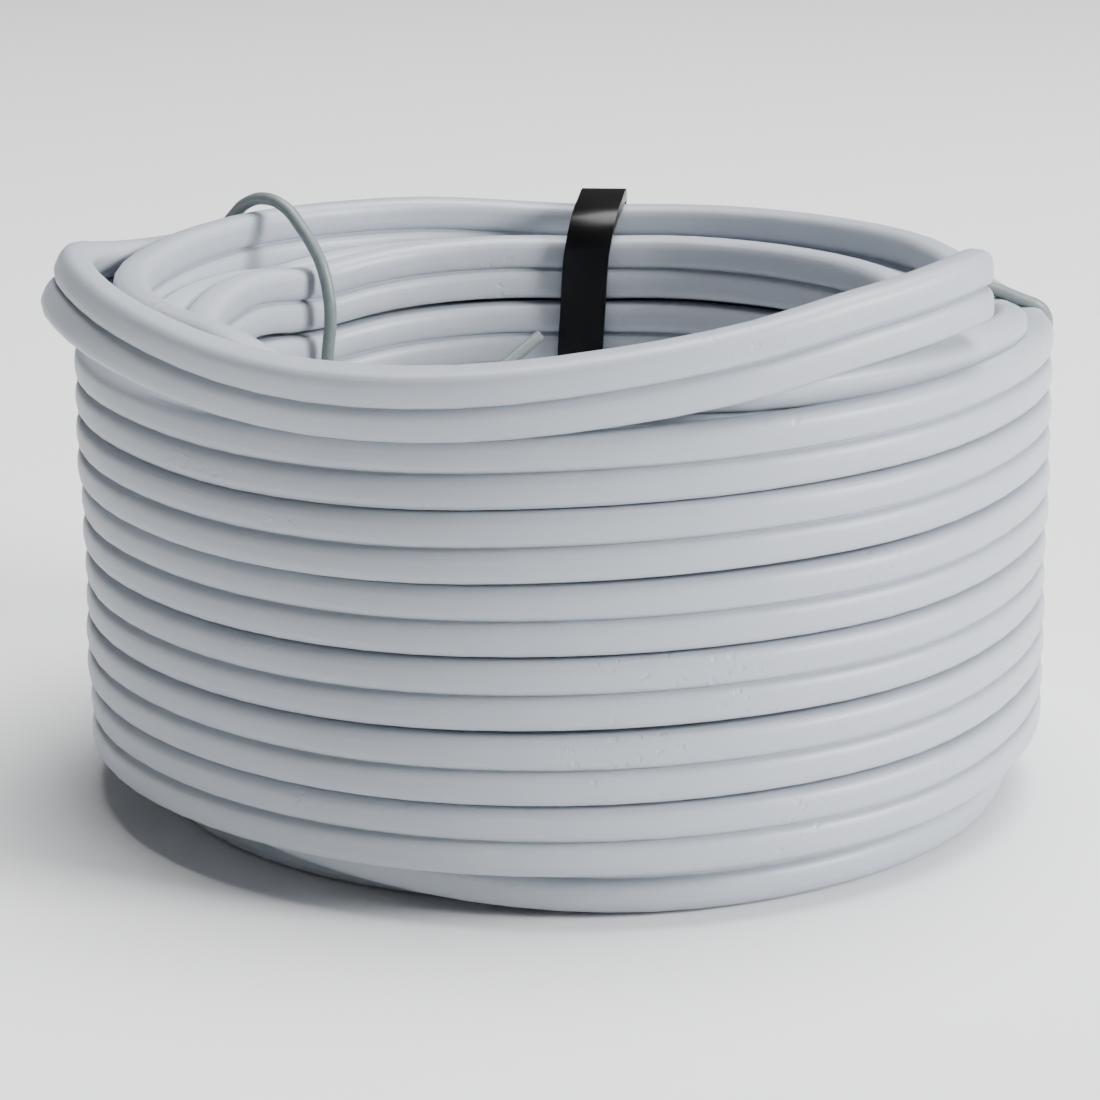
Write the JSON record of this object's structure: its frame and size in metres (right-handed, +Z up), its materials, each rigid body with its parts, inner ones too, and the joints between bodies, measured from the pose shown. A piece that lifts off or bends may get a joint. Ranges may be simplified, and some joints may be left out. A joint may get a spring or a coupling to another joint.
{
  "type": "coil of flat twin cable",
  "caption": "Coil of flat twin flex wound in even layers, with its last turn loose at a cut end, held by wire ties and a cable tie.",
  "frame": {"origin": "on the level that the coil lies on, under the middle of the whole part", "axes": "+Z up along the coil's axis, -Y towards the front, +X towards the cut end of the cable"},
  "size_m": [0.0868, 0.0882, 0.0499],
  "materials": {
    "cable": "white soft PVC, satin",
    "tie_wire": "grey PVC-coated wire, satin",
    "cable_tie": "black nylon, semi-gloss"
  },
  "bodies": {
    "root": {"cable_coil": "cable", "cable_last_turn": "cable", "wire_tie_left": "tie_wire", "wire_tie_right": "tie_wire", "cable_tie": "cable_tie"}
  },
  "joints": []
}
